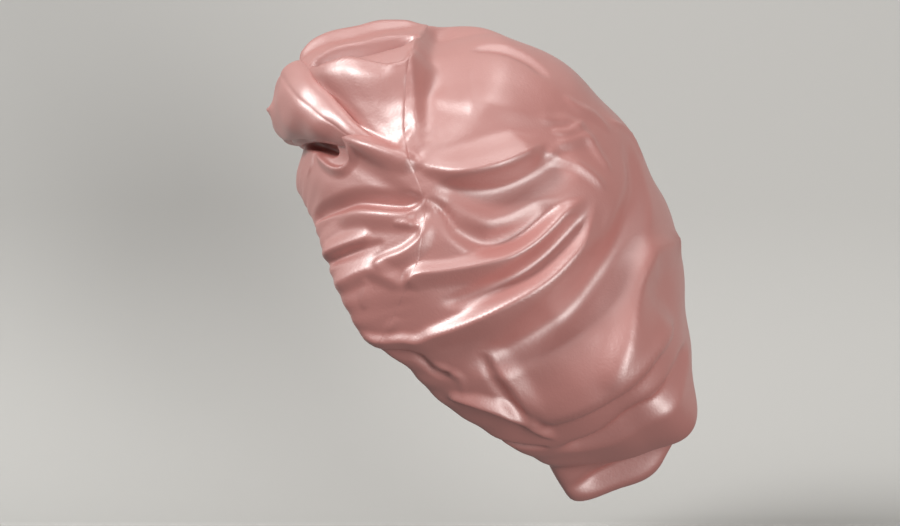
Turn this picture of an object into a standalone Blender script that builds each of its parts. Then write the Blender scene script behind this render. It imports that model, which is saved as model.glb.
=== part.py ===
"""Satin sleep bonnet with a knotted front, in the form that it takes on a head.

The wearer's left is +X, the face looks along -Y and up is +Z. The origin is the
seat: the point inside the crown where the top of a head carries the bonnet.
Places on the bonnet are read in its side view, in shares of its length from the
brow to the back, and of its height from the crown down. Angles there run from
the face, 0, over the top, 90, to the back, 180, and the bottom, 270.
"""

import math

import bmesh
import bpy
import numpy as np
from mathutils import Vector

# Driving sizes, in metres
LENGTH = 0.241  # the bag of cloth, brow to back
HEIGHT = 0.272  # the bag, top of the crown to the bottom of the pouch
WIDTH = 0.206  # the bag, side to side
CLOTH = 0.0014  # wall of a cloth panel
HEM_WALL = 0.0024  # wall at the turned hem
HEM_TURN = 0.007  # reach of the turned hem up from the opening
SEAM_GAP = 0.0009  # clearance between two panels
KNOT_GAP = 0.0009  # clearance between the knot and the band that it sits on
KNOT_WIDTH = 0.058
KNOT_HEIGHT = 0.031
KNOT_DEPTH = 0.024
FOLD_DEPTH = 0.009  # the deepest fold
FOLD_WIDTH = 0.024  # half of the widest fold
GATHER_DEPTH = 0.0018  # gathers along the elastic hem
GATHER_REACH = 0.024

# Plain numbers of the form
FULLNESS = 2.2  # 2 is an ellipse, more is squarer
GATHERS = 18
SEAT_ANGLE = 83  # where the top of the head touches, in the side view
POLE_ANGLE = 164  # middle of the crown's cloth, in the side view
FOLD_TAPER_SHARE = 0.25  # each end of a fold dies out over this much of it
FOLD_POINTS = 40  # points that a fold's line is read at
GATHER_SWAY = 1.5  # how unevenly the gathers are spaced
GATHER_SWAYS = 5
TIP_SHARE = 0.03  # band width at its blunt ends, as a share of the bag's half width
CROWN_CELLS = 64
CROWN_FACES = 3500  # triangles that one face of the crown's cloth is thinned to
BAND_COLUMNS = 76
BAND_ROWS = 20
BAND_FACES = 1150
KNOT_SEGMENTS = 28
KNOT_RINGS = 16

# Side outline: reach from the bag's centre as a share of an ellipse that is as
# long and high as the bag, on the wearer's left and on the right
OUTLINE = (
    # angle, left, right
    (0, 0.893, 0.893),
    (15, 0.887, 0.887),
    (25, 0.926, 0.926),
    (31, 0.940, 0.940),
    (37, 0.965, 0.965),
    (43, 1.100, 1.100),
    (48, 1.160, 1.160),
    (53, 1.132, 1.150),
    (60, 1.062, 1.084),
    (67, 1.024, 1.050),
    (74, 0.988, 1.020),
    (80, 0.962, 0.966),
    (95, 0.916, 0.916),
    (110, 0.878, 0.878),
    (125, 0.850, 0.850),
    (145, 0.845, 0.845),
    (160, 0.864, 0.864),
    (180, 0.917, 0.907),
    (200, 1.004, 0.974),
    (210, 1.105, 1.050),
    (220, 1.205, 1.110),
    (230, 1.110, 1.187),
    (240, 1.014, 1.142),
    (250, 0.934, 1.081),
    (260, 0.870, 0.952),
    (270, 0.812, 0.841),
    (286, 0.750, 0.758),
    (302, 0.774, 0.774),
    (320, 0.857, 0.857),
    (339, 0.927, 0.927),
    (350, 0.913, 0.913),
)
LOBE_START_SHARE = 0.02  # the left outline takes over from the right between these
LOBE_END_SHARE = 0.20  # two leanings of a direction towards the wearer's left

# The opening's edge from the brow down the side to the nape
HEM = (
    # back, down
    (0.067, 0.279),
    (0.063, 0.378),
    (0.110, 0.447),
    (0.149, 0.526),
    (0.195, 0.610),
    (0.239, 0.672),
    (0.308, 0.713),
    (0.384, 0.779),
    (0.496, 0.846),
    (0.569, 0.887),
    (0.639, 0.939),
    (0.684, 0.976),
)

# The seam between band and crown, from the top down to where it meets the hem
SEAM = (
    # back, down
    (0.377, 0.013),
    (0.358, 0.061),
    (0.343, 0.112),
    (0.328, 0.198),
    (0.328, 0.259),
    (0.340, 0.317),
    (0.366, 0.384),
    (0.370, 0.452),
    (0.351, 0.529),
    (0.316, 0.592),
    (0.278, 0.658),
    (0.252, 0.700),
)

# Folds on the sides: height as a share of the fold depth, up or, with a minus,
# in; half width as a share of the fold width; and the places that each runs through
LEFT_FOLDS = (
    # name, height, half width, (back, down) places
    ("roll from the knot", 1.0, 0.55, (0.10, 0.22), (0.21, 0.27), (0.35, 0.33)),
    ("upper pleat rim", 0.6, 0.45, (0.08, 0.17), (0.16, 0.14), (0.28, 0.16), (0.33, 0.14)),
    ("hollow between the pleats", -0.8, 0.55, (0.13, 0.11), (0.21, 0.11), (0.30, 0.11)),
    ("flat under the pleat rim", -0.3, 0.70, (0.15, 0.19), (0.28, 0.23)),
    ("hollow under the roll", -0.6, 0.50, (0.12, 0.30), (0.20, 0.33)),
    ("roll over the crown", 0.8, 0.70, (0.36, 0.33), (0.49, 0.32), (0.65, 0.27)),
    ("trough under the roll", -0.7, 0.75, (0.37, 0.39), (0.51, 0.38), (0.68, 0.33)),
    ("cheek fold", 0.5, 0.65, (0.11, 0.37), (0.25, 0.36), (0.36, 0.37)),
    ("crease under the cheek fold", -0.5, 0.50, (0.11, 0.43), (0.23, 0.41), (0.37, 0.42)),
    ("middle fold", 0.8, 0.70, (0.32, 0.53), (0.45, 0.52), (0.60, 0.48), (0.73, 0.38)),
    ("trough over the middle fold", -0.5, 0.75, (0.42, 0.46), (0.57, 0.43), (0.70, 0.35)),
    ("trough over the long fold", -0.5, 0.70, (0.38, 0.60), (0.50, 0.57), (0.64, 0.50), (0.74, 0.40)),
    ("long fold", 1.0, 0.70, (0.33, 0.68), (0.48, 0.62), (0.63, 0.54), (0.76, 0.40)),
    ("trough under the long fold", -0.9, 0.75, (0.44, 0.71), (0.57, 0.62), (0.69, 0.53), (0.79, 0.42)),
    ("ear fold", 0.4, 0.45, (0.28, 0.65), (0.38, 0.68)),
    ("nape crease", -0.5, 0.55, (0.48, 0.69), (0.56, 0.76), (0.60, 0.80)),
    ("nape roll", 0.5, 0.50, (0.43, 0.78), (0.53, 0.81), (0.62, 0.84)),
    ("pouch fold", 0.9, 0.85, (0.60, 0.84), (0.75, 0.80), (0.85, 0.72), (0.95, 0.58)),
    ("trough over the pouch fold", -0.5, 0.85, (0.57, 0.76), (0.72, 0.71), (0.84, 0.62)),
    ("back wedge", 0.5, 0.70, (0.92, 0.44), (0.82, 0.54), (0.76, 0.66)),
)
RIGHT_FOLDS = (
    # name, height, half width, (back, down) places
    ("roll from the knot", 1.0, 0.55, (0.10, 0.23), (0.20, 0.29), (0.34, 0.36)),
    ("upper pleat rim", 0.7, 0.45, (0.09, 0.17), (0.18, 0.13), (0.32, 0.15)),
    ("hollow between the pleats", -0.7, 0.55, (0.14, 0.20), (0.22, 0.20), (0.32, 0.22)),
    ("roll over the crown", 0.7, 0.70, (0.36, 0.36), (0.50, 0.38), (0.66, 0.33)),
    ("crown trough", -0.6, 0.75, (0.38, 0.44), (0.55, 0.45), (0.72, 0.38)),
    ("cheek fold", 0.5, 0.65, (0.14, 0.44), (0.27, 0.44), (0.38, 0.48)),
    ("middle fold", 0.8, 0.70, (0.32, 0.60), (0.50, 0.57), (0.68, 0.50), (0.81, 0.39)),
    ("middle trough", -0.9, 0.75, (0.38, 0.69), (0.56, 0.66), (0.74, 0.57), (0.85, 0.45)),
    ("long fold", 0.9, 0.70, (0.40, 0.77), (0.58, 0.74), (0.76, 0.66), (0.89, 0.53)),
    ("nape trough", -0.6, 0.65, (0.52, 0.83), (0.66, 0.82), (0.80, 0.75)),
    ("pouch fold", 0.7, 0.70, (0.60, 0.91), (0.74, 0.89), (0.86, 0.80)),
)
# Folds that cross from side to side: places as side view angle and the angle
# out from the middle, towards the wearer's left
ROUND_FOLDS = (
    # name, height, half width, (angle, across) places
    ("cleft between the lobes", -1.0, 0.70, (208, 11), (230, 8), (250, 5)),
    ("middle pleat", 0.5, 0.40, (48, 2), (60, 3), (76, 2)),
    ("left pleat groove", -0.5, 0.40, (47, 9), (60, 12), (73, 13)),
    ("right pleat groove", -0.5, 0.40, (47, -7), (60, -9), (74, -10)),
    ("right top pleat", 0.7, 0.45, (46, -14), (58, -19), (74, -22)),
    ("back fold", 0.6, 0.75, (124, -4), (150, -18), (180, -22)),
    ("back trough", -0.6, 0.75, (128, 14), (155, 6), (190, 10)),
    ("low back fold", 0.6, 0.70, (168, 26), (192, 16), (218, -6)),
    ("right back trough", -0.6, 0.70, (176, -6), (200, -24), (224, -40)),
    ("top crease", -0.4, 0.60, (92, -28), (104, -8), (118, 8)),
)

# The knot: grooves that wind round it, each a line through its footprint
KNOT_ANGLE = 36  # the knot's middle, in the side view
KNOT_PINCH_SHARE = 0.16  # how far the footprint draws in above and below the middle
KNOT_LEAN_SHARE = 1.5  # how much the bunch rises straight ahead of its middle
KNOT_SWELL_SHARE = 0.7  # below 1 its sides are steeper
KNOT_GROOVE_SHARE = 0.16  # how wide a groove is
KNOT_CALM_SHARE = 0.6  # the band's folds fade out over this much round the footprint
KNOT_GROOVES = (
    # turn in degrees, offset from the middle, bend, depth share
    (64, 0.04, 0.45, 0.45),
    (8, 0.46, -0.55, 0.28),
    (14, -0.40, 0.50, 0.28),
)

SATIN = (0.62, 0.33, 0.30, 1.0)
SATIN_DEEP = (0.56, 0.28, 0.25, 1.0)
ROUND = 360.0


def ease(share):
    """0 below 0, 1 above 1, and a smooth step between."""
    share = np.clip(share, 0.0, 1.0)
    return share * share * (3 - 2 * share)


def curve_through(keys, values, at):
    """The smooth curve through rows of keys and values, read at each number in at."""
    keys = np.asarray(keys, float)
    values = np.asarray(values, float)
    slopes = np.gradient(values, keys, axis=0)
    row = np.clip(np.searchsorted(keys, at, side="right") - 1, 0, len(keys) - 2)
    span = keys[row + 1] - keys[row]
    t = (at - keys[row]) / span
    if values.ndim > 1:
        t, span = t[:, None], span[:, None]
    start = (1 + 2 * t) * (1 - t) ** 2 * values[row] + t * (1 - t) ** 2 * span * slopes[row]
    end = t * t * (3 - 2 * t) * values[row + 1] + t * t * (t - 1) * span * slopes[row + 1]
    return start + end


def curve_around(keys, values, at):
    """As curve_through, for rows that go once round the circle in degrees."""
    keys = np.asarray(keys, float)
    order = np.argsort(keys)
    keys, values = keys[order], np.asarray(values, float)[order]
    keys = np.concatenate([keys - ROUND, keys, keys + ROUND])
    values = np.concatenate([values, values, values])
    return curve_through(keys, values, at)


def side_direction(angle):
    """Unit direction in the plane of the side view."""
    turn = math.radians(angle)
    return np.array([0.0, -math.cos(turn), math.sin(turn)])


POLE = side_direction(POLE_ANGLE)
TOWARDS_BROW = side_direction(POLE_ANGLE - 90)
TOWARDS_LEFT = np.array([1.0, 0.0, 0.0])


def outline_reach(angle, leftness):
    """How far the side outline lies from the bag's centre."""
    rows = np.array(OUTLINE)
    left = curve_around(rows[:, 0], rows[:, 1], angle)
    right = curve_around(rows[:, 0], rows[:, 2], angle)
    turn = np.radians(angle)
    ellipse = 1 / np.hypot(np.cos(turn) / (LENGTH / 2), np.sin(turn) / (HEIGHT / 2))
    return ellipse * (right + (left - right) * leftness)


def side_angle(back, up):
    return np.degrees(np.arctan2(up, -back)) % ROUND


def plain_form(directions):
    """The bag without folds: a point of the cloth for each unit direction from its centre."""
    across, back, up = directions.T
    flat = np.hypot(back, up)
    leftness = ease((across - LOBE_START_SHARE) / (LOBE_END_SHARE - LOBE_START_SHARE))
    outline = outline_reach(side_angle(back, up), leftness)
    power = (flat / outline) ** FULLNESS + (np.abs(across) / (WIDTH / 2)) ** FULLNESS
    return directions * (power ** (-1 / FULLNESS))[:, None]


def outward(directions):
    """Unit normals of the plain form."""
    step = 0.01
    helper = np.where(np.abs(directions[:, :1]) < 0.9, [[1.0, 0, 0]], [[0, 1.0, 0]])
    first = np.cross(directions, helper)
    first /= np.linalg.norm(first, axis=1)[:, None]
    second = np.cross(directions, first)
    edges = []
    for lean in (first, second):
        ends = []
        for sign in (1, -1):
            leaned = directions + sign * step * lean
            ends.append(plain_form(leaned / np.linalg.norm(leaned, axis=1)[:, None]))
        edges.append(ends[0] - ends[1])
    normals = np.cross(*edges)
    normals /= np.linalg.norm(normals, axis=1)[:, None]
    return normals * np.sign((normals * directions).sum(axis=1))[:, None]


def on_side(places, side):
    """Points of the plain form seen at (back, down) places from the left, 1, or right, -1."""
    places = np.asarray(places, float)
    back = (places[:, 0] - 0.5) * LENGTH
    up = (0.5 - places[:, 1]) * HEIGHT
    outline = outline_reach(side_angle(back, up), np.full(len(back), 1.0 if side > 0 else 0.0))
    share = np.clip(np.hypot(back, up) / outline, 0, 1)
    across = side * WIDTH / 2 * (1 - share**FULLNESS) ** (1 / FULLNESS)
    return np.column_stack([across, back, up])


def on_round(places):
    """Points of the plain form at (angle, across) places in degrees."""
    angle, across = np.radians(np.asarray(places, float)).T
    directions = np.column_stack(
        [np.sin(across), -np.cos(angle) * np.cos(across), np.sin(angle) * np.cos(across)]
    )
    return plain_form(directions)


def from_pole(directions):
    """Angle of each direction from the crown's middle, and its turn round it from the brow."""
    polar = np.degrees(np.arccos(np.clip(directions @ POLE, -1, 1)))
    turn = np.degrees(np.arctan2(directions @ TOWARDS_LEFT, directions @ TOWARDS_BROW))
    return polar, turn


def to_directions(polar, turn):
    polar, turn = np.radians(polar)[:, None], np.radians(turn)[:, None]
    around = TOWARDS_BROW * np.cos(turn) + TOWARDS_LEFT * np.sin(turn)
    return POLE * np.cos(polar) + around * np.sin(polar)


def edge_rows(places):
    """(turn, polar) rows of an edge given by its places on one side, for both sides."""
    rows = {}
    for side in (1, -1):
        points = on_side(places, side)
        for end in (0, -1):
            if abs(points[end, 0]) < WIDTH / 8:
                points[end, 0] = 0.0
        directions = points / np.linalg.norm(points, axis=1)[:, None]
        polar, turn = from_pole(directions)
        for each, angle in zip(turn, polar):
            rows[round(float(each) % ROUND, 3)] = float(angle)
    turns = sorted(rows)
    return np.array(turns), np.array([rows[turn] for turn in turns])


HEM_ROWS = edge_rows(HEM)
SEAM_ROWS = edge_rows(SEAM)


def hem_polar(turn):
    return curve_around(*HEM_ROWS, turn % ROUND)


def seam_polar(turn):
    return curve_around(*SEAM_ROWS, turn % ROUND)


def band_tip():
    """The turn at which the band between seam and hem has narrowed to its blunt end."""
    turns = np.arange(40.0, 170.0, 0.25)
    width = np.radians(hem_polar(turns) - seam_polar(turns))
    return float(turns[np.argmax(width < TIP_SHARE)])


BAND_TIP = band_tip()


def crown_edge(turn):
    """The crown's edge: the seam over the band, the hem behind the band's ends."""
    past = np.abs((turn + 180) % ROUND - 180) - BAND_TIP
    columns = ROUND / (4 * CROWN_CELLS)
    step = ease((past - 3 * columns) / (3 * columns))
    seam, hem = seam_polar(turn), hem_polar(turn)
    held = np.where(past > 0, np.maximum(seam, hem - math.degrees(TIP_SHARE)), seam)
    return held + (hem - held) * step


def knot_frame():
    """The knot's middle direction, and the directions across and up its footprint."""
    middle = side_direction(KNOT_ANGLE)
    return middle, TOWARDS_LEFT, side_direction(KNOT_ANGLE + 90)


def knot_share(directions):
    """0 at the knot's middle and 1 at the edge of its footprint."""
    middle, across, upwards = knot_frame()
    reach = float(np.linalg.norm(plain_form(middle[None, :])))
    ahead = directions @ middle
    wide = np.arctan2(directions @ across, ahead) * reach / (KNOT_WIDTH / 2)
    high = np.arctan2(directions @ upwards, ahead) * reach / (KNOT_HEIGHT / 2)
    return np.hypot(wide, high)


def fold_lines():
    """Each fold as its height, half width and a close line of points on the plain form."""
    lines = []
    for side, folds in ((1, LEFT_FOLDS), (-1, RIGHT_FOLDS)):
        for _, height, width, *places in folds:
            lines.append((height, width, on_side(places, side)))
    for _, height, width, *places in ROUND_FOLDS:
        lines.append((height, width, on_round(places)))
    close = []
    for height, width, points in lines:
        if len(points) == 2:
            points = np.insert(points, 1, points.mean(axis=0), axis=0)
        along = np.linspace(0, len(points) - 1, FOLD_POINTS)
        close.append((height, width, curve_through(np.arange(len(points)), points, along)))
    return close


FOLDS = fold_lines()


def fold_height(plain):
    """How far the folds lift each point of the plain form."""
    lift = np.zeros(len(plain))
    for height, width, line in FOLDS:
        gaps = np.linalg.norm(plain[:, None, :] - line[None, :, :], axis=2)
        nearest = gaps.argmin(axis=1)
        along = nearest / (len(line) - 1)
        taper = ease(along / FOLD_TAPER_SHARE) * ease((1 - along) / FOLD_TAPER_SHARE)
        spread = np.clip(gaps.min(axis=1) / (width * FOLD_WIDTH), 0, 1)
        lift += height * FOLD_DEPTH * taper * (1 - spread**2) ** 2
    return lift


def gather_height(polar, turn, plain):
    """The ripple that the elastic draws along the hem."""
    inward = np.radians(hem_polar(turn) - polar) * np.linalg.norm(plain, axis=1)
    fade = np.exp(-np.maximum(inward, 0) / GATHER_REACH)
    wave = np.cos(np.radians(GATHERS * turn) + GATHER_SWAY * np.sin(np.radians(GATHER_SWAYS * turn)))
    return GATHER_DEPTH * fade * wave


def cloth(polar, turn):
    """Outer points of the folded cloth, and how thick the wall is at each."""
    directions = to_directions(polar, turn)
    plain = plain_form(directions)
    normals = outward(directions)
    lift = fold_height(plain) + gather_height(polar, turn, plain)
    lift *= ease((knot_share(directions) - 1.0) / KNOT_CALM_SHARE)
    from_hem = np.radians(hem_polar(turn) - polar) * np.linalg.norm(plain, axis=1)
    wall = CLOTH + (HEM_WALL - CLOTH) * (1 - ease(from_hem / HEM_TURN))
    return plain + normals * lift[:, None], wall


def seat_point():
    """Where the top of the head touches the inside of the crown."""
    direction = side_direction(SEAT_ANGLE)[None, :]
    polar, turn = from_pole(direction)
    points, wall = cloth(polar, turn)
    return points[0] - outward(direction)[0] * wall[0]


SEAT = seat_point()


def material(name, colour):
    made = bpy.data.materials.new(name)
    made.use_nodes = True
    shader = made.node_tree.nodes["Principled BSDF"]
    shader.inputs["Base Color"].default_value = colour
    shader.inputs["Roughness"].default_value = 0.38
    shader.inputs["Metallic"].default_value = 0.0
    return made


def grid(columns, rows):
    """A flat grid from -1 to 1 both ways, and its points as an array."""
    mesh = bmesh.new()
    bmesh.ops.create_grid(mesh, x_segments=columns, y_segments=rows, size=1)
    mesh.verts.ensure_lookup_table()
    return mesh, np.array([vert.co[:2] for vert in mesh.verts])


def hang_panel(name, mesh, polar, turn, faces, colour):
    """Shapes a flat grid as a panel of the bag, thins it out where it is smooth and gives it its wall."""
    points, wall = cloth(polar, turn)
    for vert, point in zip(mesh.verts, points - SEAT):
        vert.co = point
    mesh.normal_update()
    middle = Vector(-SEAT)
    facing = sum((face.calc_center_median() - middle).dot(face.normal) for face in mesh.faces)
    if facing < 0:
        bmesh.ops.reverse_faces(mesh, faces=mesh.faces)
    inside = [vert.index for vert in mesh.verts if not vert.is_boundary]
    data = bpy.data.meshes.new(name)
    mesh.to_mesh(data)
    mesh.free()
    data.shade_smooth()
    data.materials.append(material(name, colour))
    panel = bpy.data.objects.new(name, data)
    bpy.context.scene.collection.objects.link(panel)
    group = panel.vertex_groups.new(name="wall")
    for index, share in enumerate(wall / HEM_WALL):
        group.add([index], float(share), "REPLACE")
    panel.vertex_groups.new(name="off the edge").add(inside, 1.0, "REPLACE")
    thin = panel.modifiers.new("fewer faces", "DECIMATE")
    thin.vertex_group = "off the edge"
    thin.vertex_group_factor = 10
    thin.ratio = faces / (2 * len(data.polygons))
    solidify = panel.modifiers.new("wall", "SOLIDIFY")
    solidify.thickness = HEM_WALL
    solidify.offset = -1
    solidify.vertex_group = group.name
    return panel


def crown_bag():
    """The slack bag behind the seam: a square grid drawn round into a disc of cloth."""
    mesh, flat = grid(CROWN_CELLS, CROWN_CELLS)
    x, y = flat.T
    towards_brow = x * np.sqrt(1 - y * y / 2)
    towards_left = y * np.sqrt(1 - x * x / 2)
    turn = np.degrees(np.arctan2(towards_left, towards_brow))
    polar = np.hypot(towards_brow, towards_left) * crown_edge(turn)
    return hang_panel("crown_bag", mesh, polar, turn, CROWN_FACES, SATIN)


def front_band():
    """The panel between the seam and the hem, over the brow from cheek to cheek."""
    mesh, flat = grid(BAND_COLUMNS, BAND_ROWS)
    turn = flat[:, 0] * BAND_TIP
    reach = np.linalg.norm(plain_form(to_directions(seam_polar(turn), turn)), axis=1)
    top = seam_polar(turn) + np.degrees(SEAM_GAP / reach)
    polar = top + (hem_polar(turn) - top) * (flat[:, 1] + 1) / 2
    return hang_panel("front_band", mesh, polar, turn, BAND_FACES, SATIN)


def centre_knot():
    """The twisted bunch of cloth at the brow, lying on the band."""
    mesh = bmesh.new()
    bmesh.ops.create_uvsphere(mesh, u_segments=KNOT_SEGMENTS, v_segments=KNOT_RINGS, radius=1)
    middle, across, upwards = knot_frame()
    reach = float(np.linalg.norm(plain_form(middle[None, :])))
    places = np.array([vert.co[:] for vert in mesh.verts])
    pinch = 1 - KNOT_PINCH_SHARE * (1 - np.abs(places[:, 0])) ** 2
    wide = places[:, 0] * KNOT_WIDTH / 2 / reach
    high = places[:, 1] * KNOT_HEIGHT / 2 / reach * pinch
    directions = middle + np.tan(wide)[:, None] * across + np.tan(high)[:, None] * upwards
    directions /= np.linalg.norm(directions, axis=1)[:, None]
    swell = np.maximum(places[:, 2], 0) ** KNOT_SWELL_SHARE
    groove = np.ones(len(places))
    for turn, offset, bend, depth in KNOT_GROOVES:
        lean = math.radians(turn)
        along = places[:, 0] * math.cos(lean) + places[:, 1] * math.sin(lean)
        beside = places[:, 1] * math.cos(lean) - places[:, 0] * math.sin(lean)
        groove -= depth * np.exp(-(((beside - offset - bend * along**2) / KNOT_GROOVE_SHARE) ** 2))
    beneath = outward(directions)
    ahead = beneath + KNOT_LEAN_SHARE * outward(middle[None, :])
    ahead /= np.linalg.norm(ahead, axis=1)[:, None]
    lift = (KNOT_DEPTH * swell * groove)[:, None]
    points = plain_form(directions) + beneath * KNOT_GAP + ahead * lift - SEAT
    for vert, point in zip(mesh.verts, points):
        vert.co = point
    bmesh.ops.recalc_face_normals(mesh, faces=mesh.faces)
    data = bpy.data.meshes.new("centre_knot")
    mesh.to_mesh(data)
    mesh.free()
    data.shade_smooth()
    data.materials.append(material("centre_knot", SATIN_DEEP))
    knot = bpy.data.objects.new("centre_knot", data)
    bpy.context.scene.collection.objects.link(knot)
    return knot


for old in list(bpy.data.objects):
    bpy.data.objects.remove(old, do_unlink=True)
crown_bag()
front_band()
centre_knot()
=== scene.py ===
"""The satin sleep bonnet as it looks in wear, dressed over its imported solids.

Each panel of cloth is a fine grid hung on the same plain bag as the solids. Folds are
then laid on it, a row for each fold in the tables below. The wearer's left is +X, the
face looks along -Y and up is +Z. All sizes are in metres unless a name says otherwise.
"""

import math

import bpy
import numpy as np
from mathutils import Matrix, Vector


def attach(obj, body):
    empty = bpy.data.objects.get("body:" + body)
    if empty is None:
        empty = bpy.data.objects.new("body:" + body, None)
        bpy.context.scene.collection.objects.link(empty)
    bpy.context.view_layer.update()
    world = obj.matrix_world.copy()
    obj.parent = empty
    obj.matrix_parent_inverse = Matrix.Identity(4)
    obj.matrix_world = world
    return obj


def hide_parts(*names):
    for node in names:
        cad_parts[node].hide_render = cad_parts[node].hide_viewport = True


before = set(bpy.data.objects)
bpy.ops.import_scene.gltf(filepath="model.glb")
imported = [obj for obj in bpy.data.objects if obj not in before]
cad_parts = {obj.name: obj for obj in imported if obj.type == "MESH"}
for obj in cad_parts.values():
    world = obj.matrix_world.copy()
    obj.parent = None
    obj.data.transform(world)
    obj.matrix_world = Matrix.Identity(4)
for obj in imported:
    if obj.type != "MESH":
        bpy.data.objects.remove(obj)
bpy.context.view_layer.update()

# The plain bag, with the solids' sizes. Angles are in degrees, here and below
LENGTH = 0.241
HEIGHT = 0.272
WIDTH = 0.206
FULLNESS = 2.2  # 2 would be an ellipse from side to side, more is fuller
POLE_ANGLE = 164  # where the gathered bag's pole lies in the side view
TIP_SHARE = 0.03  # the band ends where it is no wider than this, as an angle in radians
LOBE_START_SHARE = 0.02  # the outline goes from right to left between these shares
LOBE_END_SHARE = 0.20
ROUND = 360.0
TINY = 1e-12
MILLIMETRES = 1000  # in a metre
BAG_CENTRE = np.array([0.0, 0.01586, -0.12633])  # the seat is the origin
TIP_SEARCH = (40.0, 170.0, 0.25)  # the band's end is looked for from, to and in steps of
BAND_END_REACH = 4.0  # the crown's edge goes from seam to hem over this turn
NEAR_MIDDLE = WIDTH / 8  # an edge's end this near the middle lies on it
NORMAL_STEP = 0.01  # how far to each side the plain form is read for its normals
STEEP = 0.9  # a direction that lies nearer to the side than this takes another helper

# The cloth
CLOTH = 0.0009  # satin, with its own thickness made up to hold its shape
CROWN_CELLS = 208
BAND_COLUMNS = 330
BAND_ROWS = 112
EDGE_CROWDING = 0.7  # how much closer the rows of a grid lie at the seam
EDGE_CROWDING_REACH = 0.03
EDGE_CROWDING_START = 0.5
SEAM_OVERLAP = 0.7  # how much further from the pole the crown runs on, under the band
SEAM_EDGE = 0.0008  # the band's edge rolls down on the crown
SEAM_EDGE_REACH = 0.0007
SEAM_STEP = 0.0005  # the crown lies this much lower than the band along the seam
SEAM_STEP_REACH = 0.007
SEAM_CALM_SHARE = 0.7  # how much fainter the seam is over the cheeks than over the brow
SEAM_CALM_START = 50  # round the pole from the brow
SEAM_CALM_REACH = 22
HEM_CURL = 0.0050  # the elastic rolls the hem under
HEM_CURL_REACH = 0.0026
GATHERS = 46  # small ones, round the hem
GATHER_DEPTH = 0.0004
GATHER_REACH = 0.016
GATHER_SWAY = 4
HEM_HOLD_SHARE = 0.65  # how much of the folds the elastic smooths out at the hem
HEM_HOLD_REACH = 0.009
PUCKERS = 90  # small ones, along the seam
PUCKER_DEPTH = 0.00012
PUCKER_REACH = 0.006
PUCKER_SWAY = 5
NO_SEAM_NEAR = 1.0  # stands for the seam's distance where there is none
SWAY = (20, 0.7, 5)  # how unevenly gathers and puckers are spaced: size, scale, seed
UNEVEN = (
    # depth, scale, seed
    (0.0007, 0.034, 1),
    (0.00025, 0.018, 2),
)
ROUGH_WAVES = 14
ROUGH_LONGEST = 0.6  # half a wave is the scale over a number from this one
ROUGH_SHORTEST = 1.6  # to this one
FOLD_POINTS = 64
FOLD_END = 0.14  # each end of a fold dies out over this share of it
FOLD_NARROWING = 0.45  # how far a fold has narrowed where its height has gone to nothing
FOLD_LEAN_SHARE = 0.6  # one flank's reach turns into the other's over this share of it
CREASE_POWER = 1.6

# The knot
KNOT_ANGLE = 36
KNOT_WIDTH = 0.058
KNOT_HEIGHT = 0.031
KNOT_CALM_SHARE = 0.6  # folds start at the knot's edge and have their height this share out
KNOT_PATH = (
    # photo px, py, out from the middle, half height, half depth, all in millimetres
    (294, 104, 0, 17, 11),
    (295, 103, 10, 22, 13),
    (298, 103, 22, 24, 14),
    (304, 106, 35, 22, 14),
    (314, 112, 48, 17.5, 12.5),
    (328, 121, 60, 13, 10),
    (345, 131, 70, 9, 7.4),
    (364, 141, 77, 5.6, 5),
    (386, 150, 81, 3, 2.6),
)
KNOT_PLEATS = (
    # place round the bunch from straight ahead, drift over two rows, depth share, width
    (70, 14, 0.05, 5),
    (40, -6, 0.03, 4),
    (-64, -10, 0.10, 7),
    (104, 8, 0.12, 9),
    (-100, 12, 0.14, 10),
)
KNOT_AROUND = 144
KNOT_ALONG = 240
KNOT_PLEAT_POWER = 1.3
KNOT_PLEATS_END = 10.1  # the pleats fade out towards this row from the path's middle
KNOT_PLEATS_FADE = 3
KNOT_FACING = (0.45, 1.0, 1.0)  # how much of each way out from the centre the bunch faces
KNOT_FACING_MOVE = (0.0, -0.02, -0.065)
KNOT_CLOSING_RINGS = 5  # each tail closes to a point over these
KNOT_UNEVEN = (0.0005, 0.012, 3)  # depth, scale, seed
KNOT_MERGE = 0.00001
FAR_TAIL_RISE = 0.012  # how much higher the far tail ends than the near one
KNOT_TIP_OUT = 0.015  # a corner of cloth stands here, out from the middle
KNOT_TIP_ROUND = -16  # and here, round the bunch
KNOT_TIP_UP = 0.0038
KNOT_TIP_WIDTH = 0.0032
KNOT_TIP_NARROWING = 1.6  # how much narrower it is round the bunch

# The photo, in its own pixels, and the camera that took it
PHOTO_WIDTH = 900
PHOTO_HEIGHT = 526
PIXEL = 0.00056  # size of a pixel at the bag's middle plane
PHOTO_MIDDLE_PX = np.array([PHOTO_WIDTH / 2, PHOTO_HEIGHT / 2])
BAG_MIDDLE_PX = np.array([483, 257])
CAMERA_DISTANCE = 1.10
SENSOR = 36.0  # millimetres
SIGHT_TRIES = 6  # how often a point seen in the photo is corrected, and by what share
SIGHT_SHARE = 0.5

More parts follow.
